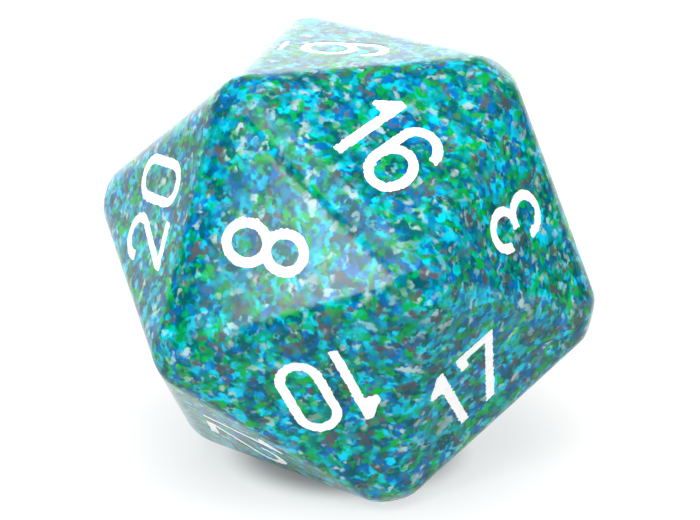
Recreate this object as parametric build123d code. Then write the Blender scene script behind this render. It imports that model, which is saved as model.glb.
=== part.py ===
from build123d import *
import math
import os

# A twenty-sided die, lying on its 15 with the 6 on top.
# Origin: centre of the face it rests on. +Z up, and the foremost corner of that face points to -Y.
# All sizes in millimetres.

# ---- body ----
FACE_TO_FACE = 34.0  # between opposite faces
EDGE_RADIUS = 3.4  # rounding that tumbling leaves along the thirty edges
CORNER_WEAR = 0.27  # how much further each of the twelve corners is worn down

# ---- engraved numerals ----
DIGIT_HEIGHT = 7.1
DIGIT_WIDTH = 3.8
STROKE = 0.8
DIGIT_GAP = 0.9  # between two round digits
GAP_AFTER_ONE = 1.3
ONE_FLAG = 1.15  # how far the flag of a 1 stands left of its stem
FLAG_DROP = 1.65  # from the top of a 1 to the tip of its flag
FLAG_TIP = 0.4  # thickness of that tip
UPPER_BOWL = 3.84  # height of the upper loop of an 8
UPPER_BOWL_WIDTH = 3.64
SIX_BOWL = 4.6  # height of the loop of a 6
TERMINAL_ANGLE = 190  # where the hooks of a 2, 3 and 5 end on their loops, in degrees from +X
TWO_FOOT = 0.5  # from the left side of a 2 to where its slant meets the base
THREE_NIB = 0.5  # how far the middle of a 3 reaches left of its bowls' middle
FIVE_SHOULDER = 135  # where the back of a 5 runs into its bowl, in degrees from +X
SEVEN_SERIF = 1.65  # how far the left end of a 7 hangs down
SEVEN_FOOT = 0.5  # from the left side of a 7 to its foot
FOUR_BAR = 1.5  # height of the crossbar of a 4 above its foot
FOUR_STEM = 0.65  # how far that bar passes the stem
UNDERLINE_LENGTH = 3.0  # the bar that tells a 6 from a 9
UNDERLINE_STROKE = 0.42
UNDERLINE_GAP = 1.15
ENGRAVING_DEPTH = 0.5  # below the flat of the face
PAINT_BELOW_FACE = 0.08  # how far the paint stays under the surface

GOLDEN = (1 + math.sqrt(5)) / 2
INRADIUS = FACE_TO_FACE / 2
CENTRE = Vector(0, 0, INRADIUS)

# Twelve corners in four level rings of three. A ring has a height and a radius, both as
# multiples of the bottom ring's radius, and the angle of its first corner in degrees.
RINGS = {
    "A": (0, 1, -90),
    "B": (1, GOLDEN, -150),
    "C": (GOLDEN, GOLDEN, -90),
    "D": (GOLDEN**2, 1, -150),
}

# Each face by its number: its three corners, with the one that the numeral's top points to
# first, and how far the numeral sits right of and above the middle of the face.
FACES = {
    1: ("B2", "A2", "C2", 0, 0),
    2: ("C3", "B1", "A3", 0, 0),
    3: ("C1", "B2", "D2", 0.2, 0.15),
    4: ("B3", "D3", "C3", 0, 0),
    5: ("A3", "A2", "B3", 0, 0),
    6: ("D2", "D1", "D3", 0, -0.1),
    7: ("B2", "A1", "A2", 0, 0),
    8: ("C1", "D1", "B1", 0, -0.35),
    9: ("D3", "D2", "C2", 0, 0),
    10: ("A1", "C1", "B1", -0.2, -0.25),
    11: ("D3", "C2", "B3", 0, 0),
    12: ("A1", "B1", "A3", 0, -0.3),
    13: ("B3", "A2", "C2", 0, 0),
    14: ("C3", "D1", "D3", 0, 0),
    15: ("A3", "A1", "A2", 0, 0),
    16: ("D2", "C1", "D1", 0.1, -0.25),
    17: ("C1", "A1", "B2", -0.7, 0.25),
    18: ("B3", "C3", "A3", 0, 0),
    19: ("B2", "D2", "C2", 0, 0),
    20: ("C3", "D1", "B1", 0.2, 0.9),
}

# ---- the pen that draws the digits: a digit stands on x = 0, with y = 0 at half its height ----
HALF = STROKE / 2
TOP = DIGIT_HEIGHT / 2
PEN_TOP = TOP - HALF
MIDDLE = DIGIT_WIDTH / 2
PEN_RADIUS = MIDDLE - HALF
LOWER_BOWL = DIGIT_HEIGHT - UPPER_BOWL + STROKE
WAIST = TOP - UPPER_BOWL + HALF


def corner(name):
    """The sharp corner that a name such as B2 stands for."""
    height, radius, first_angle = RINGS[name[0]]
    unit = FACE_TO_FACE / GOLDEN**2
    angle = math.radians(first_angle + 120 * (int(name[1]) - 1))
    return Vector(radius * math.cos(angle), radius * math.sin(angle), height) * unit


def face_plane(number):
    """The face's plane: origin at its middle, X to the numeral's right, Z out of the die."""
    corners = [corner(name) for name in FACES[number][:3]]
    middle = (corners[0] + corners[1] + corners[2]) / 3
    outward = (middle - CENTRE).normalized()
    up = (corners[0] - middle).normalized()
    return Plane(origin=middle, x_dir=up.cross(outward), z_dir=outward)


def rounded_die(below_surface=0):
    """The tumbled icosahedron, or the same shape a little inside it.

    A sharp core is EDGE_RADIUS smaller all round. Its corners are cut off by the wear, and it is
    then grown by the edge radius, which rounds every edge and corner.
    """
    core_scale = (INRADIUS - EDGE_RADIUS) / INRADIUS
    sides = []
    for name_1, name_2, name_3, _, _ in FACES.values():
        corners = [CENTRE + (corner(name) - CENTRE) * core_scale for name in (name_1, name_2, name_3)]
        sides.append(Face(Wire.make_polygon(corners, close=True)))
    core = Solid(Shell(sides))
    for ring_name in RINGS:
        for place in (1, 2, 3):
            reach = (corner(f"{ring_name}{place}") - CENTRE) * core_scale
            outward = reach.normalized()
            cut = Plane(origin=CENTRE + reach - outward * CORNER_WEAR, z_dir=outward)
            core = split(core, bisect_by=cut, keep=Keep.BOTTOM)
    return offset(core, amount=EDGE_RADIUS - below_surface, kind=Kind.ARC)


def ring(middle_y, width, height):
    """One oval loop of a digit, as wide and as high as given over its outside."""
    outer = Ellipse(width / 2, height / 2)
    inner = Ellipse(width / 2 - STROKE, height / 2 - STROKE)
    return Pos(MIDDLE, middle_y) * (outer - inner)


def block(x_low, x_high, y_low, y_high):
    """A straight-sided piece of a digit."""
    return Pos(x_low, y_low) * Rectangle(x_high - x_low, y_high - y_low, align=(Align.MIN, Align.MIN))


def open_ring(middle_y, width, height, gap_start, gap_end):
    """A loop without the stretch between two angles, counted from +X about its middle."""
    reach = DIGIT_HEIGHT
    gap = Polyline(
        (0, 0),
        (reach * math.cos(math.radians(gap_start)), reach * math.sin(math.radians(gap_start))),
        (reach * math.cos(math.radians(gap_end)), reach * math.sin(math.radians(gap_end))),
        (0, 0),
    )
    return ring(middle_y, width, height) - Pos(MIDDLE, middle_y) * make_face(gap)


def digit_0():
    outer = SlotOverall(DIGIT_HEIGHT, DIGIT_WIDTH, rotation=90)
    inner = SlotOverall(DIGIT_HEIGHT - 2 * STROKE, DIGIT_WIDTH - 2 * STROKE, rotation=90)
    return Pos(MIDDLE, 0) * (outer - inner)


def digit_1():
    right = ONE_FLAG + STROKE
    outline = Polyline(
        (ONE_FLAG + HALF / 2, TOP),
        (right, TOP),
        (right, -TOP),
        (ONE_FLAG, -TOP),
        (ONE_FLAG, TOP - FLAG_DROP - FLAG_TIP),
        (HALF / 4, TOP - FLAG_DROP - FLAG_TIP),
        (0, TOP - FLAG_DROP),
        (ONE_FLAG + HALF / 2, TOP),
    )
    return make_face(outline)


def digit_2():
    """A hook whose arc runs straight on into the slant, and the base that the slant ends on."""
    turn = (MIDDLE, PEN_TOP - PEN_RADIUS)
    foot = (TWO_FOOT, STROKE - TOP)
    slope = math.atan2(turn[1] - foot[1], turn[0] - foot[0])
    lean = math.degrees(slope - math.asin(PEN_RADIUS / math.dist(turn, foot)))
    arc = CenterArc(turn, PEN_RADIUS, TERMINAL_ANGLE, lean - 90 - TERMINAL_ANGLE)
    slant = Line(arc @ 1, PolarLine(foot, -STROKE, lean) @ 1)
    hook = trace([arc, slant], STROKE) - block(-STROKE, 0, -TOP, 0) - block(0, STROKE, -2 * TOP, -TOP)
    return hook + block(0, DIGIT_WIDTH, -TOP, STROKE - TOP)


def digit_3():
    upper = open_ring(TOP - UPPER_BOWL / 2, UPPER_BOWL_WIDTH, UPPER_BOWL, TERMINAL_ANGLE, 270)
    lower = open_ring(LOWER_BOWL / 2 - TOP, DIGIT_WIDTH, LOWER_BOWL, 90, 360 - TERMINAL_ANGLE)
    nib = block(MIDDLE - THREE_NIB, MIDDLE, WAIST - HALF, WAIST + HALF)
    return upper + lower + nib


def digit_4():
    stem_right = DIGIT_WIDTH - FOUR_STEM
    stem_left = stem_right - STROKE
    bar_low = FOUR_BAR - TOP
    bar_high = bar_low + STROKE
    steepness = (TOP - bar_high) / stem_left
    counter_left = STROKE / math.sin(math.atan(steepness))
    counter_high = bar_high + steepness * (stem_left - counter_left)
    slant = Polyline((0, bar_high), (stem_left, TOP), (stem_left, bar_high), (0, bar_high))
    counter = Polyline(
        (counter_left, bar_high), (stem_left, bar_high), (stem_left, counter_high), (counter_left, bar_high)
    )
    strokes = block(stem_left, stem_right, -TOP, TOP) + block(0, DIGIT_WIDTH, bar_low, bar_high)
    return strokes + (make_face(slant) - make_face(counter))


def digit_5():
    bowl_middle = SIX_BOWL / 2 - TOP
    bowl = open_ring(bowl_middle, DIGIT_WIDTH, SIX_BOWL, FIVE_SHOULDER, TERMINAL_ANGLE)
    shoulder = bowl_middle + (SIX_BOWL / 2 - HALF) * math.sin(math.radians(FIVE_SHOULDER))
    back = block(HALF, HALF + STROKE, shoulder, TOP)
    bar = block(HALF, DIGIT_WIDTH - HALF / 2, TOP - STROKE, TOP)
    return bowl + back + bar


def digit_6():
    bowl_middle = SIX_BOWL / 2 - TOP
    arch_middle = TOP - MIDDLE
    arch = ring(arch_middle, DIGIT_WIDTH, DIGIT_WIDTH) - block(0, DIGIT_WIDTH, -TOP, arch_middle)
    stem = block(0, STROKE, bowl_middle, arch_middle)
    return arch + stem + ring(bowl_middle, DIGIT_WIDTH, SIX_BOWL)


def digit_7():
    slant_width = 1.1 * STROKE
    outline = Polyline(
        (0, TOP),
        (DIGIT_WIDTH, TOP),
        (SEVEN_FOOT + slant_width, -TOP),
        (SEVEN_FOOT, -TOP),
        (DIGIT_WIDTH - slant_width - HALF / 2, TOP - STROKE),
        (STROKE, TOP - STROKE),
        (STROKE, TOP - SEVEN_SERIF),
        (0, TOP - SEVEN_SERIF),
        (0, TOP),
    )
    return make_face(outline)


def digit_8():
    upper = ring(TOP - UPPER_BOWL / 2, UPPER_BOWL_WIDTH, UPPER_BOWL)
    return upper + ring(LOWER_BOWL / 2 - TOP, DIGIT_WIDTH, LOWER_BOWL)


def digit_9():
    return Pos(DIGIT_WIDTH, 0) * Rot(0, 0, 180) * digit_6()


DIGITS = {
    "0": digit_0,
    "1": digit_1,
    "2": digit_2,
    "3": digit_3,
    "4": digit_4,
    "5": digit_5,
    "6": digit_6,
    "7": digit_7,
    "8": digit_8,
    "9": digit_9,
}


def numeral_outline(number):
    """The digits of a number side by side, centred on the origin, underlined if it needs it."""
    outline = Sketch()
    width = 0
    gap = 0
    for character in str(number):
        outline += Pos(width + gap, 0) * DIGITS[character]()
        width += gap + (ONE_FLAG + STROKE if character == "1" else DIGIT_WIDTH)
        gap = GAP_AFTER_ONE if character == "1" else DIGIT_GAP
    outline = Pos(-width / 2, 0) * outline
    if number in (6, 9):
        underline = Rectangle(UNDERLINE_LENGTH, UNDERLINE_STROKE)
        outline += Pos(0, -TOP - UNDERLINE_GAP - UNDERLINE_STROKE / 2) * underline
    return outline


def numeral_prism(number):
    """The numeral as a straight plug through the face, from the engraving's floor upwards."""
    right, above = FACES[number][3:]
    plug = extrude(numeral_outline(number), amount=2 * ENGRAVING_DEPTH)
    return face_plane(number) * Pos(right, above, -ENGRAVING_DEPTH) * plug


def build_die():
    """The moulded body with its engravings, and the paint that fills each of them."""
    body = rounded_die()
    painted_limit = rounded_die(PAINT_BELOW_FACE)
    nodes = {}
    for number in FACES:
        prism = numeral_prism(number)
        nodes[f"numeral_{number:02d}"] = prism & painted_limit
        body -= prism
    nodes["die_body"] = body
    return nodes


os.makedirs("parts", exist_ok=True)
for node, shape in build_die().items():
    shape.label = node
    export_step(shape, f"parts/{node}.step")
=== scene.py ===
import math

import bpy
import numpy as np
from mathutils import Matrix, Vector, geometry, kdtree, noise


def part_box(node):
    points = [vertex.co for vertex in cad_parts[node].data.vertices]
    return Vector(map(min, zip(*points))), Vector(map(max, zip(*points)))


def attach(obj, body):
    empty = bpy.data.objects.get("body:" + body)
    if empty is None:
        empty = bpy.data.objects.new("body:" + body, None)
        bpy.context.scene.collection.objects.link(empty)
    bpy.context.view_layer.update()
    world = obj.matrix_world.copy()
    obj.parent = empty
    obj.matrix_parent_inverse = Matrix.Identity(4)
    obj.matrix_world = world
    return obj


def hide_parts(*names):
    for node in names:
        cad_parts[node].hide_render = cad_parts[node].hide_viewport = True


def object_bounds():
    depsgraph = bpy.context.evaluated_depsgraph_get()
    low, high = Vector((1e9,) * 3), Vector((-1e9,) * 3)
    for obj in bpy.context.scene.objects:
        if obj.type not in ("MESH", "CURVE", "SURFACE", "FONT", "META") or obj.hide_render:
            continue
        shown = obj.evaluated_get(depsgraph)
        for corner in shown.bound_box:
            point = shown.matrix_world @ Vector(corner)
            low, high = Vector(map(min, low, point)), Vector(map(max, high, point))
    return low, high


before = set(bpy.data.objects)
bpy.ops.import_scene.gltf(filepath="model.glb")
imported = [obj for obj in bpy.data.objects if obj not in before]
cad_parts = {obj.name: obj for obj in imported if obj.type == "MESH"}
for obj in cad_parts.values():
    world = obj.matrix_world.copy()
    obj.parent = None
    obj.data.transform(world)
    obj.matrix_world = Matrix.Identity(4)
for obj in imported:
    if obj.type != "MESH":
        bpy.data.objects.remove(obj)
cad_low, cad_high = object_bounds()

# Meshes are worked out in millimetres, from the die's centre, and made in metres in the row frame.
# Materials, floor, lights and camera are in metres.
M = 0.001
FACE_TO_FACE = (cad_high.z - cad_low.z) / M
INRADIUS = FACE_TO_FACE / 2
CENTRE = np.array([0.0, 0.0, cad_low.z / M + INRADIUS])
GOLDEN = (1 + math.sqrt(5)) / 2

# ---- body ----
EDGE_RADIUS = 3.4
EDGE_EASE = 0.6  # over which the polish blends a flat into its rounded edge
TIP_RADIUS = 20.2  # from the centre to each worn corner
TIP_BLEND = 0.35  # over which the wear fades into the rounded edges
BOUNDARY_STEP = 0.5  # between mesh points along the middle of an edge
BAND_ROWS = 8  # rows of points between a flat and the middle of its edge
FLAT_STEP = 0.6  # between mesh points on a flat
WELD = 1e-3  # points nearer than this are one, and a border triangle thinner than this is none

# ---- engravings ----
FLOOR_TOLERANCE = 0.01  # in height, of the points on an engraving's floor
OUTLINE_STEP = 0.07  # between points along the rim of an engraving
CORNER_ROUNDS = 3  # times that the rim is smoothed, which rounds its corners
RIM_WIDTH = 0.035  # of the softened rim
RIM_DROP = 0.025  # of the rim below the face
FLOOR_DEPTH = 0.5
WOBBLE = 0.05  # how far the rim strays from the drawn outline, at most
FINE_WOBBLE = 0.12  # the same on a finer scale, where the rim is at its most ragged

# ---- paint ----
PAINT_EDGE_GAP = 0.006  # paint's top edge below the rim
PAINT_SAG = 0.03  # how much lower the paint is in the middle of a stroke
PAINT_CLING = 0.12  # from the rim to where the paint has sagged most of the way
PAINT_STEP = 0.16  # between mesh points on the paint
PAINT_FLOOR_GAP = 0.004  # between the paint and the engraving's floor


# ================================================================ shape of the die


def corner_points():
    """The twelve sharp corners, from the centre, in four level rings of three."""
    unit = FACE_TO_FACE / GOLDEN**2
    rings = [
        (0, 1, -90),
        (1, GOLDEN, -150),
        (GOLDEN, GOLDEN, -90),
        (GOLDEN**2, 1, -150),
    ]
    points = []
    for height, radius, first_angle in rings:
        for place in range(3):
            angle = math.radians(first_angle + 120 * place)
            point = np.array([radius * math.cos(angle), radius * math.sin(angle), height])
            points.append(point * unit - np.array([0, 0, INRADIUS]))
    return points


CORNERS = corner_points()
EDGE = min(np.linalg.norm(CORNERS[0] - other) for other in CORNERS[1:])
CORE_SCALE = (INRADIUS - EDGE_RADIUS) / INRADIUS
TRIANGLES = [
    (i, j, k)
    for i in range(12)
    for j in range(i + 1, 12)
    for k in range(j + 1, 12)
    if max(np.linalg.norm(CORNERS[p] - CORNERS[q]) for p, q in ((i, j), (j, k), (k, i))) < EDGE * 1.01
]


class Face:
    """One face: its corners, and the plane it lies in. Local x and y are in that plane, z is outward."""

    def __init__(self, triangle):
        i, j, k = triangle
        middle = (CORNERS[i] + CORNERS[j] + CORNERS[k]) / 3
        self.normal = middle / np.linalg.norm(middle)
        if np.dot(np.cross(CORNERS[j] - CORNERS[i], CORNERS[k] - CORNERS[i]), self.normal) < 0:
            j, k = k, j
        self.corners = (i, j, k)
        x_axis = CORNERS[i] - middle
        self.x_axis = x_axis / np.linalg.norm(x_axis)
        self.y_axis = np.cross(self.normal, self.x_axis)
        self.axes = np.array([self.x_axis, self.y_axis, self.normal])
        self.flat = np.array([self.to_plane(CORNERS[c])[:2] * CORE_SCALE for c in self.corners])

    def to_plane(self, points):
        """Points from the centre to local x, y and height over the face."""
        local = np.asarray(points) @ self.axes.T
        local[..., 2] -= INRADIUS
        return local

    def from_plane(self, local):
        """The way back from to_plane."""
        shifted = np.array(local, float)
        shifted[..., 2] += INRADIUS
        return shifted @ self.axes


def edge_line(start, end):
    """Points along the rounded edge between two corners, halfway between its two faces."""
    middle = (CORNERS[start] + CORNERS[end]) / 2
    outward = middle / np.linalg.norm(middle)
    along = (CORNERS[end] - CORNERS[start]) / EDGE
    half = EDGE / 2 * CORE_SCALE
    height = np.linalg.norm(middle) * CORE_SCALE
    turn = math.atan2(EDGE / 2, np.linalg.norm(middle))
    straight_count = round(2 * half / BOUNDARY_STEP)
    points = []
    for step in range(1, BAND_ROWS):
        angle = turn * (1 - step / BAND_ROWS)
        points.append((-half - EDGE_RADIUS * math.sin(angle), height + EDGE_RADIUS * math.cos(angle)))
    for step in range(straight_count + 1):
        points.append((-half + 2 * half * step / straight_count, height + EDGE_RADIUS))
    points += [(-run, rise) for run, rise in reversed(points[: BAND_ROWS - 1])]
    return [along * run + outward * rise for run, rise in points]


def tip_point(corner):
    """The rounded corner's highest point, before wear."""
    outward = CORNERS[corner] / np.linalg.norm(CORNERS[corner])
    return CORNERS[corner] * CORE_SCALE + outward * EDGE_RADIUS


def nearest_on_flat(points, flat):
    """The nearest point to each 2-D point on the flat triangle, whose corners run anticlockwise."""
    nearest = points.copy()
    outside = np.zeros(len(points), bool)
    best = np.full(len(points), np.inf)
    for start, end in zip(flat, np.roll(flat, -1, axis=0)):
        run = end - start
        share = np.clip(((points - start) @ run) / (run @ run), 0, 1)
        candidate = start + share[:, None] * run
        distance = np.linalg.norm(points - candidate, axis=1)
        beyond = run[0] * (points[:, 1] - start[1]) - run[1] * (points[:, 0] - start[0]) < 0
        outside |= beyond
        closer = distance < best
        best[closer] = distance[closer]
        nearest[closer] = candidate[closer]
    nearest[~outside] = points[~outside]
    return nearest


def surface(face, points):
    """Heights over the face and local normals of the rounded die above 2-D points.

    The normals ease from flat to round, as polishing leaves them."""
    offset = points - nearest_on_flat(points, face.flat)
    reach = np.linalg.norm(offset, axis=1)
    drop = np.sqrt(EDGE_RADIUS**2 - reach**2)
    lean = offset.copy()
    for start, end in zip(face.flat, np.roll(face.flat, -1, axis=0)):
        run = (end - start) / np.linalg.norm(end - start)
        outward = np.array([run[1], -run[0]])
        beyond = np.clip((points - start) @ outward, -EDGE_EASE, EDGE_EASE)
        eased = (beyond + EDGE_EASE) ** 2 / (4 * EDGE_EASE) - np.maximum(beyond, 0)
        lean += eased[:, None] * outward
    normals = np.column_stack([lean, np.sqrt(EDGE_RADIUS**2 - (lean**2).sum(axis=1))]) / EDGE_RADIUS
    return drop - EDGE_RADIUS, normals


def wear_tips(points, normals):
    """Brings the corners in to TIP_RADIUS, with a smooth join."""
    reach = np.linalg.norm(points, axis=1)
    share = np.clip(0.5 + (TIP_RADIUS - reach) / (2 * TIP_BLEND), 0, 1)
    worn = reach * share + TIP_RADIUS * (1 - share) - TIP_BLEND * share * (1 - share)
    radial = points / reach[:, None]
    turned = normals * share[:, None] + radial * (1 - share)[:, None]
    turned /= np.linalg.norm(turned, axis=1)[:, None]
    return radial * worn[:, None], turned


# ================================================================ outlines of the engravings


def floor_loops(node, face):
    """The closed outlines of an engraving's floor, as 2-D points in the face's plane."""
    mesh = node.data
    local = face.to_plane(np.array([v.co for v in mesh.vertices]) / M - CENTRE)
    floor_height = local[:, 2].min()
    on_floor = local[:, 2] < floor_height + FLOOR_TOLERANCE
    keys = [tuple(np.round(point[:2], 4)) for point in local]
    uses = {}
    for polygon in mesh.polygons:
        corners = list(polygon.vertices)
        if not all(on_floor[c] for c in corners):
            continue
        for start, end in zip(corners, corners[1:] + corners[:1]):
            pair = (keys[start], keys[end])
            uses[frozenset(pair)] = uses.get(frozenset(pair), []) + [pair]
    onward = {pairs[0][0]: pairs[0][1] for pairs in uses.values() if len(pairs) == 1}
    loops = []
    while onward:
        first = min(onward)
        loop = [first]
        point = onward.pop(first)
        while point != first:
            loop.append(point)
            point = onward.pop(point)
        loops.append(np.array(loop))
    return loops


def even_steps(loop, step):
    """The closed loop again, with points spaced evenly along it."""
    closed = np.vstack([loop, loop[:1]])
    lengths = np.concatenate([[0], np.cumsum(np.linalg.norm(np.diff(closed, axis=0), axis=1))])
    count = max(16, round(lengths[-1] / step))
    places = np.linspace(0, lengths[-1], count, endpoint=False)
    return np.column_stack([np.interp(places, lengths, closed[:, axis]) for axis in (0, 1)])


def sideways(loop):
    """Unit vectors to the right of the way the loop runs."""
    run = np.roll(loop, -1, axis=0) - np.roll(loop, 1, axis=0)
    run /= np.linalg.norm(run, axis=1)[:, None]
    return np.column_stack([run[:, 1], -run[:, 0]])


def inside(points, loops):
    """Whether each point lies in the strokes that the loops bound, by counting crossings."""
    within = np.zeros(len(points), bool)
    for loop in loops:
        for (x1, y1), (x2, y2) in zip(loop, np.roll(loop, -1, axis=0)):
            spans = (y1 > points[:, 1]) != (y2 > points[:, 1])
            with np.errstate(divide="ignore", invalid="ignore"):
                crossing = x1 + (points[:, 1] - y1) / (y2 - y1) * (x2 - x1)
            within ^= spans & (points[:, 0] < crossing)
    return within


def uneven(place):
    """How far a rim strays outward at a place: a slow waver, and a ragged one that comes and goes."""
    ragged = min(1, max(0.25, 0.6 + 1.6 * noise.noise(place * 0.45)))
    return WOBBLE * noise.noise(place * 1.7) + FINE_WOBBLE * ragged * noise.noise(place * 4.3)


def rim_loops(node, face):
    """The rims of an engraving: its outlines with rounded corners and a slightly uneven edge.

    Each comes with unit vectors that point out of the stroke."""
    rough = [even_steps(loop, OUTLINE_STEP) for loop in floor_loops(node, face)]
    rims = []
    for loop in rough:
        for _ in range(CORNER_ROUNDS):
            loop = (np.roll(loop, 1, axis=0) + 2 * loop + np.roll(loop, -1, axis=0)) / 4
        out = sideways(loop)
        if inside(loop[:1] + out[:1] * OUTLINE_STEP / 2, rough)[0]:
            out = -out
        places = face.from_plane(np.column_stack([loop, np.zeros(len(loop))]))
        stray = [uneven(Vector(place)) for place in places]
        rims.append((loop + out * np.array(stray)[:, None], out))
    return rims


# ================================================================ meshing


def lattice(low, high, step):
    """Points of a triangular lattice over a rectangle."""
    points = []
    row_height = step * math.sqrt(3) / 2
    for row in range(math.ceil((high[1] - low[1]) / row_height)):
        shift = step / 2 * (row % 2)
        for place in range(math.ceil((high[0] - low[0]) / step)):
            points.append((low[0] + shift + place * step, low[1] + row * row_height))
    return np.array(points)


def away_from(points, others, distance):
    """Those of the points that are at least the distance from all the others."""
    if not len(others) or not len(points):
        return points
    tree = kdtree.KDTree(len(others))
    for index, (x, y) in enumerate(others):
        tree.insert((x, y, 0), index)
    tree.balance()
    return np.array([p for p in points if tree.find((p[0], p[1], 0))[2] >= distance]).reshape(-1, 2)


class FaceMesh:
    """Triangles over one face, with its engraving's rim in them, shared by the body and the paint."""

    def __init__(self, face, boundary, rims):
        self.face = face
        border = face.to_plane(np.array(boundary))[:, :2]
        self.rims = [rim for rim, _ in rims]
        outer_rims = [rim + out * RIM_WIDTH for rim, out in rims]
        nearest = nearest_on_flat(border, face.flat)
        rows = [nearest + (border - nearest) * (row / BAND_ROWS) for row in range(1, BAND_ROWS)]
        band = np.vstack(rows)
        flat_edge = np.unique(np.round(nearest, 5), axis=0)
        field = lattice(border.min(0), border.max(0), FLAT_STEP)
        moved = np.linalg.norm(field - nearest_on_flat(field, face.flat), axis=1)
        field = away_from(field[moved == 0], flat_edge, FLAT_STEP / 2)
        strokes = lattice(border.min(0), border.max(0), PAINT_STEP)
        strokes = strokes[inside(strokes, self.rims)]
        outline_points = np.vstack(self.rims + outer_rims)
        loose = away_from(np.vstack([band, flat_edge, field]), outline_points, FLAT_STEP / 5)
        strokes = away_from(strokes, outline_points, PAINT_STEP / 2)
        loose = np.vstack([loose[~inside(loose, self.rims)], strokes])
        self.triangulate(border, outer_rims, loose)

    def triangulate(self, border, outer_rims, loose):
        """Splits the triangles of the whole face into those round the strokes and those in them."""
        points, edges = [], []
        for loop in [border, *self.rims, *outer_rims]:
            first = len(points)
            points += [Vector(p) for p in loop]
            edges += [(first + i, first + (i + 1) % len(loop)) for i in range(len(loop))]
        points += [Vector(p) for p in loose]
        found, _, faces, origins, _, _ = geometry.delaunay_2d_cdt(points, edges, [], 1, 1e-7, True)
        self.points = np.array([(p.x, p.y) for p in found])
        triangles = np.array([list(f) for f in faces])
        on_border = np.array([min(sources, default=len(border)) < len(border) for sources in origins])
        # Along a straight side of the border rounding leaves slivers outside it.
        sides = np.roll(self.points[triangles], -1, axis=1) - self.points[triangles]
        doubled_area = np.abs(sides[:, 0, 0] * sides[:, 1, 1] - sides[:, 0, 1] * sides[:, 1, 0])
        sliver = doubled_area < WELD * np.linalg.norm(sides, axis=2).max(axis=1)
        triangles = triangles[~(sliver & on_border[triangles].all(axis=1))]
        middles = self.points[triangles].mean(axis=1)
        in_stroke = inside(middles, self.rims)
        self.top = triangles[~in_stroke]
        self.stroke = triangles[in_stroke]

    def rim_edges(self):
        """Directed edges round the strokes, with the stroke on their left."""
        seen = {pair: True for a, b, c in self.stroke for pair in ((a, b), (b, c), (c, a))}
        return [pair for pair in seen if (pair[1], pair[0]) not in seen]


class MeshParts:
    """Vertices, normals and triangles that are gathered face by face and then made one mesh."""

    def __init__(self):
        self.points, self.normals, self.triangles = [], [], []
        self.count = 0

    def add(self, points, normals, triangles):
        self.points.append(points)
        self.normals.append(normals)
        self.triangles.append(np.asarray(triangles, int) + self.count)
        self.count += len(points)

    def make(self, name):
        """One Blender object, welded where faces meet, with the normals worked out for the shape."""
        points = np.vstack(self.points) + CENTRE
        normals = np.vstack(self.normals)
        triangles = np.vstack(self.triangles)
        keys = np.round(points / WELD).astype(np.int64)
        _, first, welded = np.unique(keys, axis=0, return_index=True, return_inverse=True)
        welded = welded.reshape(-1)
        triangles = welded[triangles]
        proper = (
            (triangles[:, 0] != triangles[:, 1])
            & (triangles[:, 1] != triangles[:, 2])
            & (triangles[:, 2] != triangles[:, 0])
        )
        mesh = bpy.data.meshes.new(name)
        mesh.from_pydata((points[first] * M).tolist(), [], triangles[proper].tolist())
        mesh.update()
        mesh.polygons.foreach_set("use_smooth", [True] * len(mesh.polygons))
        mesh.normals_split_custom_set_from_vertices(normals[first].tolist())
        piece = bpy.data.objects.new(name, mesh)
        bpy.context.scene.collection.objects.link(piece)
        return piece


def rim_directions(face_mesh):
    """For each rim point, the local direction into its stroke, and which points are on the rim."""
    inward = np.zeros((len(face_mesh.points), 3))
    for a, b in face_mesh.rim_edges():
        run = face_mesh.points[b] - face_mesh.points[a]
        left = np.array([-run[1], run[0], 0]) / np.linalg.norm(run)
        inward[a] += left
        inward[b] += left
    length = np.linalg.norm(inward, axis=1)
    on_rim = length > 0
    inward[on_rim] /= length[on_rim][:, None]
    return inward, on_rim


def add_body_face(parts, face_mesh):
    """One face of the body: its worn surface, and the walls and floor of its engraving."""
    face = face_mesh.face
    heights, normals = surface(face, face_mesh.points)
    inward, on_rim = rim_directions(face_mesh)
    heights[on_rim] -= RIM_DROP
    normals[on_rim] += inward[on_rim]
    normals /= np.linalg.norm(normals, axis=1)[:, None]
    top = face.from_plane(np.column_stack([face_mesh.points, heights]))
    worn, turned = wear_tips(top, normals @ face.axes)
    count = len(top)
    floor = face.from_plane(np.column_stack([face_mesh.points, np.full(count, -FLOOR_DEPTH)]))
    floor_normals = np.tile(face.normal, (count, 1))
    walls = []
    for a, b in face_mesh.rim_edges():
        walls += [(a, b + count, a + count), (a, b, b + count)]
    triangles = np.vstack([face_mesh.top, np.array(walls), face_mesh.stroke + count])
    used = np.unique(triangles)
    renumber = np.full(2 * count, -1)
    renumber[used] = np.arange(len(used))
    all_points = np.vstack([worn, floor])
    all_normals = np.vstack([turned, floor_normals])
    parts.add(all_points[used], all_normals[used], renumber[triangles])


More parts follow.
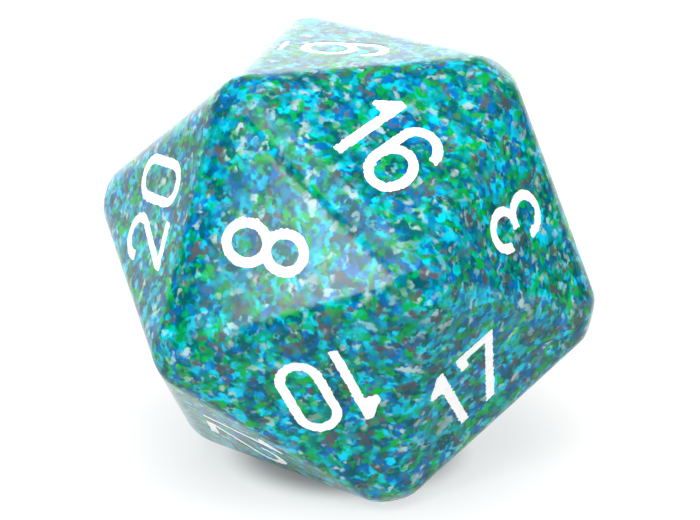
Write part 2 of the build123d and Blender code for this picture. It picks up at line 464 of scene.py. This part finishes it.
def paint_piece(name, face_mesh):
    """The paint in one engraving: it clings to the rim and sags a little between."""
    face = face_mesh.face
    used = np.unique(face_mesh.stroke)
    renumber = np.full(len(face_mesh.points), -1)
    renumber[used] = np.arange(len(used))
    points = face_mesh.points[used]
    triangles = renumber[face_mesh.stroke]
    edges = [(renumber[a], renumber[b]) for a, b in face_mesh.rim_edges()]
    rim = np.unique([index for edge in edges for index in edge])
    tree = kdtree.KDTree(len(rim))
    for index in rim:
        tree.insert((points[index][0], points[index][1], 0), int(index))
    tree.balance()
    distance = np.array([tree.find((x, y, 0))[2] for x, y in points])
    sag = PAINT_SAG * (1 - np.exp(-distance / PAINT_CLING))
    heights, normals = surface(face, points)
    heights -= RIM_DROP + PAINT_EDGE_GAP + sag
    slope = np.zeros((len(points), 2))
    nudge = 0.01
    for axis in (0, 1):
        step = np.zeros(2)
        step[axis] = nudge
        ahead = np.array([tree.find((x + step[0], y + step[1], 0))[2] for x, y in points])
        change = np.exp(-distance / PAINT_CLING) - np.exp(-ahead / PAINT_CLING)
        slope[:, axis] = PAINT_SAG * change / nudge
    slope[rim] = 0
    normals[:, :2] += slope
    normals /= np.linalg.norm(normals, axis=1)[:, None]
    top = face.from_plane(np.column_stack([points, heights]))
    count = len(points)
    low = face.from_plane(np.column_stack([points, np.full(count, PAINT_FLOOR_GAP - FLOOR_DEPTH)]))
    walls = []
    for a, b in edges:
        walls += [(b, a + count, b + count), (b, a, a + count)]
    parts = MeshParts()
    parts.add(
        np.vstack([top, low]),
        np.vstack([normals @ face.axes, np.tile(-face.normal, (count, 1))]),
        np.vstack([triangles, np.array(walls), triangles[:, ::-1] + count]),
    )
    return parts.make(name)


def face_boundary(face, lines):
    """The closed line round a face, halfway along its rounded edges."""
    i, j, k = face.corners
    points = []
    for start, end in ((i, j), (j, k), (k, i)):
        line = lines[min(start, end), max(start, end)]
        points.append(tip_point(start))
        points += line if start < end else line[::-1]
    return points


def face_of(node, faces):
    """The face that a numeral's node lies in."""
    low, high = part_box(node)
    middle = np.array((low + high) / 2) / M - CENTRE
    return max(faces, key=lambda face: float(middle @ face.normal))


# ================================================================ materials


class Nodes:
    """Adds shader nodes to a material or a world, and links or sets their inputs."""

    def __init__(self, owner):
        owner.use_nodes = True
        self.tree = owner.node_tree

    def put(self, socket, value):
        if isinstance(value, bpy.types.NodeSocket):
            self.tree.links.new(value, socket)
        else:
            socket.default_value = value

    def make(self, kind, settings=None, **inputs):
        node = self.tree.nodes.new(kind)
        for key, value in (settings or {}).items():
            setattr(node, key, value)
        for key, value in inputs.items():
            self.put(node.inputs[key.replace("_", " ")], value)
        return node

    def vector(self, operation, first, second):
        node = self.make("ShaderNodeVectorMath", {"operation": operation})
        self.put(node.inputs[0], first)
        self.put(node.inputs[1], second)
        return node

    def number(self, operation, first, second):
        node = self.make("ShaderNodeMath", {"operation": operation})
        self.put(node.inputs[0], first)
        self.put(node.inputs[1], second)
        return node.outputs[0]

    def ramp(self, value, low, high, start=0.0, end=1.0):
        """From start to end as the value goes from low to high, eased at both ends."""
        settings = {"interpolation_type": "SMOOTHSTEP"}
        sockets = {"From_Min": low, "From_Max": high, "To_Min": start, "To_Max": end}
        return self.make("ShaderNodeMapRange", settings, Value=value, **sockets).outputs["Result"]

    def blend(self, amount, under, over):
        node = self.make("ShaderNodeMix", {"data_type": "RGBA"})
        self.put(node.inputs[0], amount)
        self.put(node.inputs[6], under)
        self.put(node.inputs[7], over)
        return node.outputs[2]

    def shift(self, place, by):
        return self.vector("ADD", place, by).outputs[0]

    def noise(self, place, scale, detail):
        return self.make("ShaderNodeTexNoise", Vector=place, Scale=scale, Detail=detail)

    def split(self, colour):
        node = self.make("ShaderNodeSeparateColor", Color=colour)
        return node.outputs["Red"], node.outputs["Green"], node.outputs["Blue"]

    def bump(self, height, strength, distance, normal=None):
        node = self.make("ShaderNodeBump", Height=height, Strength=strength, Distance=distance)
        if normal:
            self.put(node.inputs["Normal"], normal)
        return node.outputs["Normal"]


def srgb(red, green, blue):
    """A colour given as 0 to 255 in sRGB, as linear values."""

    def linear(value):
        value /= 255
        return value / 12.92 if value <= 0.04045 else ((value + 0.055) / 1.055) ** 2.4

    return (linear(red), linear(green), linear(blue), 1.0)


DEEP_TEAL = srgb(0, 90, 102)
GREEN = srgb(0, 166, 66)
BLUE = srgb(0, 108, 182)
CYAN = srgb(0, 202, 234)
LIME = srgb(104, 192, 80)
GREY = srgb(84, 90, 96)
PALE = srgb(162, 196, 196)
SHADOW = (0.0, 0.05, 0.06, 1.0)
STRAY_PAINT = (0.85, 0.9, 0.9, 1.0)
PLASTIC_SPECULAR = 0.13


def speckled_plastic():
    """Moulded from coloured granules, which show as soft irregular patches under a polished skin."""
    material = bpy.data.materials.new("speckled_plastic")
    nodes = Nodes(material)
    ramp, blend, shift, cloud, split = nodes.ramp, nodes.blend, nodes.shift, nodes.noise, nodes.split
    shader = nodes.tree.nodes["Principled BSDF"]
    place = nodes.make("ShaderNodeTexCoord").outputs["Object"]
    bend = shift(cloud(place, 2200.0, 2.0).outputs["Color"], (-0.5, -0.5, -0.5))
    moved = shift(place, nodes.vector("MULTIPLY", bend, (0.0004, 0.0004, 0.0004)).outputs[0])

    def four_colours(across, along):
        return blend(along, blend(across, DEEP_TEAL, GREEN), blend(across, BLUE, CYAN))

    # Melted patches, which run into each other.
    red, green, blue = split(cloud(moved, 740.0, 1.0).outputs["Color"])
    red_2 = split(cloud(shift(moved, (0.1, 0.2, 0.3)), 900.0, 1.0).outputs["Color"])[0]
    melted = four_colours(ramp(red, 0.46, 0.54), ramp(green, 0.46, 0.54))
    melted = blend(ramp(blue, 0.53, 0.63), melted, GREY)
    melted = blend(ramp(red_2, 0.57, 0.72), melted, PALE)

    # Single granules, with soft edges.
    cells = nodes.make(
        "ShaderNodeTexVoronoi",
        {"feature": "SMOOTH_F1"},
        Vector=shift(moved, (0.3, 0.1, 0.2)),
        Scale=1650.0,
        Smoothness=1.0,
    )
    red, green, blue = split(cells.outputs["Color"])
    grains = four_colours(ramp(red, 0.28, 0.72), ramp(green, 0.28, 0.72))
    grains = blend(ramp(blue, 0.72, 0.94), grains, GREY)
    grains = blend(ramp(blue, 0.22, 0.02), grains, PALE)

    choice = cloud(shift(place, (0.7, 0.2, 0.3)), 1350.0, 2.0).outputs["Fac"]
    colour = blend(ramp(choice, 0.43, 0.57), melted, grains)

    # Drifts of one colour, darker areas, and specks of stray white paint.
    for offset, scale, low, amount, drift in (
        ((0.9, 0.1, 0.5), 640.0, 0.56, 0.4, CYAN),
        ((0.2, 0.6, 0.5), 740.0, 0.54, 0.4, GREEN),
        ((0.6, 0.3, 0.8), 1300.0, 0.68, 0.5, LIME),
    ):
        area = cloud(shift(place, offset), scale, 1.0).outputs["Fac"]
        colour = blend(ramp(area, low, low + 0.16, 0.0, amount), colour, drift)
    depth = cloud(place, 540.0, 2.0).outputs["Fac"]
    colour = blend(ramp(depth, 0.36, 0.6, 0.6, 1.0), SHADOW, colour)
    flecks = nodes.make("ShaderNodeTexVoronoi", Vector=place, Scale=300.0)
    chance = split(flecks.outputs["Color"])[2]
    spot = ramp(flecks.outputs["Distance"], 0.012, 0.022, 0.9, 0.0)
    colour = blend(nodes.number("MULTIPLY", spot, ramp(chance, 0.7, 0.72)), colour, STRAY_PAINT)
    nodes.put(shader.inputs["Base Color"], colour)

    smear = cloud(place, 160.0, 4.0).outputs["Fac"]
    nodes.put(shader.inputs["Roughness"], ramp(smear, 0.3, 0.75, 0.06, 0.13))
    stretched = nodes.vector("MULTIPLY", place, (1.0, 9.0, 3.0)).outputs[0]
    scratches = ramp(cloud(stretched, 2600.0, 2.0).outputs["Fac"], 0.55, 0.75)
    fine = nodes.bump(scratches, 0.25, 0.000004)
    skin = nodes.bump(cloud(place, 330.0, 2.0).outputs["Fac"], 0.5, 0.00002, fine)
    nodes.put(shader.inputs["Normal"], skin)
    shader.inputs["IOR"].default_value = 1.5
    shader.inputs["Specular IOR Level"].default_value = PLASTIC_SPECULAR
    return material


DULL_WHITE = (0.92, 0.93, 0.93, 1.0)
CLEAN_WHITE = (0.98, 0.98, 0.98, 1.0)


def numeral_paint():
    """White enamel, a little uneven in colour and sheen."""
    material = bpy.data.materials.new("white_enamel")
    nodes = Nodes(material)
    shader = nodes.tree.nodes["Principled BSDF"]
    place = nodes.make("ShaderNodeTexCoord").outputs["Object"]
    clouds = nodes.noise(place, 1500.0, 4.0).outputs["Fac"]
    grain = nodes.noise(place, 3500.0, 3.0).outputs["Fac"]
    colour = nodes.blend(nodes.ramp(clouds, 0.3, 0.6), DULL_WHITE, CLEAN_WHITE)
    nodes.put(shader.inputs["Base Color"], colour)
    nodes.put(shader.inputs["Roughness"], nodes.ramp(grain, 0.3, 0.7, 0.4, 0.65))
    nodes.put(shader.inputs["Normal"], nodes.bump(grain, 0.4, 0.00002))
    return material


# ================================================================ the die


def build_die():
    """The body, as one skin, and the paint in each of its engravings."""
    faces = [Face(triangle) for triangle in TRIANGLES]
    lines = {}
    for face in faces:
        for start, end in zip(face.corners, face.corners[1:] + face.corners[:1]):
            key = (min(start, end), max(start, end))
            lines.setdefault(key, edge_line(*key))
    plastic, enamel = speckled_plastic(), numeral_paint()
    body = MeshParts()
    for number in range(1, 21):
        node = f"numeral_{number:02d}"
        face = face_of(node, faces)
        rims = rim_loops(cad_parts[node], face)
        face_mesh = FaceMesh(face, face_boundary(face, lines), rims)
        add_body_face(body, face_mesh)
        paint = paint_piece(f"paint_{number:02d}", face_mesh)
        paint.data.materials.append(enamel)
        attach(paint, "root")
        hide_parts(node)
    die = body.make("moulded_body")
    die.data.materials.append(plastic)
    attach(die, "root")
    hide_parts("die_body")


build_die()

# ================================================================ floor, light and camera


FLOOR_REACH = 4.0
FLOOR_GREY = 0.24
WHITE = (1.0, 1.0, 1.0, 1.0)


def make_floor():
    """A pale floor with a little glow, which is painted light and shade: less under the die as a painted
    contact shadow, less at the front left as painted shade, and more far behind as painted light.
    """
    mesh = bpy.data.meshes.new("floor")
    corners = [(x * FLOOR_REACH, y * FLOOR_REACH, 0) for x, y in ((-1, -1), (1, -1), (1, 1), (-1, 1))]
    mesh.from_pydata(corners, [], [(0, 1, 2, 3)])
    floor = bpy.data.objects.new("floor", mesh)
    bpy.context.scene.collection.objects.link(floor)
    material = bpy.data.materials.new("pale_floor")
    nodes = Nodes(material)
    shader = nodes.tree.nodes["Principled BSDF"]
    place = nodes.make("ShaderNodeTexCoord").outputs["Object"]
    away = nodes.vector("LENGTH", place, (0, 0, 0)).outputs["Value"]
    toward_back = nodes.make("ShaderNodeSeparateXYZ", Vector=place).outputs["Y"]
    # Painted contact shadow: the glow is weakest right round the die and grows with distance from it.
    glow_with_painted_contact_shadow = nodes.ramp(away, 0.0064, 0.0107, 0.2, 0.68)
    glow_with_painted_light_and_shade = nodes.number("ADD", glow_with_painted_contact_shadow, nodes.ramp(away, 0.012, 0.038, 0.0, 0.24))
    # Painted shade: the glow is dimmed at the front left.
    from_front_left = nodes.vector("DOT_PRODUCT", place, (0.5, 0.866, 0)).outputs["Value"]
    glow_with_painted_light_and_shade = nodes.number("MULTIPLY", glow_with_painted_light_and_shade, nodes.ramp(from_front_left, -0.065, -0.021, 0.45, 1.0))
    # Painted light: the glow is stronger far behind the die.
    glow_with_painted_light_and_shade = nodes.number("ADD", glow_with_painted_light_and_shade, nodes.ramp(toward_back, 0.04, 0.13, 0.0, 0.9))
    nodes.put(shader.inputs["Emission Strength"], glow_with_painted_light_and_shade)
    shader.inputs["Emission Color"].default_value = WHITE
    shader.inputs["Base Color"].default_value = (FLOOR_GREY, FLOOR_GREY, FLOOR_GREY, 1)
    shader.inputs["Roughness"].default_value = 0.8
    shader.inputs["Specular IOR Level"].default_value = 0.2
    floor.data.materials.append(material)


def softbox(name, place, target, size, power):
    """A rectangular light that faces its target, in metres and watts."""
    light = bpy.data.lights.new(name, "AREA")
    light.shape = "RECTANGLE"
    light.size, light.size_y = size
    light.energy = power
    lamp = bpy.data.objects.new(name, light)
    lamp.location = place
    lamp.rotation_euler = (Vector(target) - Vector(place)).to_track_quat("-Z", "Y").to_euler()
    bpy.context.scene.collection.objects.link(lamp)


SWEEP_STRENGTH = 2.9
SWEEP_DIRECTION = (0.2, 0.98, 0)
LEFT_TARGET = (-0.01, -0.014, 0.024)  # the face with the 8, which reflects that light


def light_scene():
    """A bright sweep behind the die, dim surroundings, a large light in front above, one at the left."""
    world = bpy.data.worlds.new("studio")
    nodes = Nodes(world)
    direction = nodes.make("ShaderNodeTexCoord").outputs["Generated"]
    height = nodes.make("ShaderNodeSeparateXYZ", Vector=direction).outputs["Z"]
    facing = nodes.vector("DOT_PRODUCT", direction, SWEEP_DIRECTION).outputs["Value"]
    low_down = nodes.ramp(height, 0.2, 0.75, 1.0, 0.0)
    sweep = nodes.number("MULTIPLY", nodes.ramp(facing, 0.45, 0.9), low_down)
    ceiling = nodes.ramp(height, 0.0, 0.9, 0.14, 0.34)
    strength = nodes.number("ADD", nodes.number("MULTIPLY", sweep, SWEEP_STRENGTH), ceiling)
    background = nodes.tree.nodes["Background"]
    background.inputs["Color"].default_value = WHITE
    nodes.put(background.inputs["Strength"], strength)
    bpy.context.scene.world = world
    softbox("key", (-0.2, -0.5, 0.85), (0, 0, INRADIUS * M), (0.9, 0.8), 14.5)
    softbox("left", (-0.7321, -0.4811, 0.295), LEFT_TARGET, (0.1, 0.13), 0.95)


CAMERA_PLACE = (-0.06193, -0.20544, 0.09113)
CAMERA_RIGHT = (0.95677, -0.29085, -0.00311)
CAMERA_UP = (0.0983, 0.31327, 0.94456)
CAMERA_BACK = (-0.27375, -0.90403, 0.32831)
SENSOR_WIDTH = 36
LENS = 146.04


def place_camera():
    """The camera stands where the photo's camera stood."""
    data = bpy.data.cameras.new("camera")
    data.sensor_width = SENSOR_WIDTH
    data.lens = LENS
    data.clip_start = 0.01
    camera = bpy.data.objects.new("camera", data)
    turn = Matrix((CAMERA_RIGHT, CAMERA_UP, CAMERA_BACK)).transposed().to_4x4()
    camera.matrix_world = Matrix.Translation(CAMERA_PLACE) @ turn
    bpy.context.scene.collection.objects.link(camera)
    bpy.context.scene.camera = camera


make_floor()
light_scene()
place_camera()
bpy.context.scene.view_settings.view_transform = "Standard"
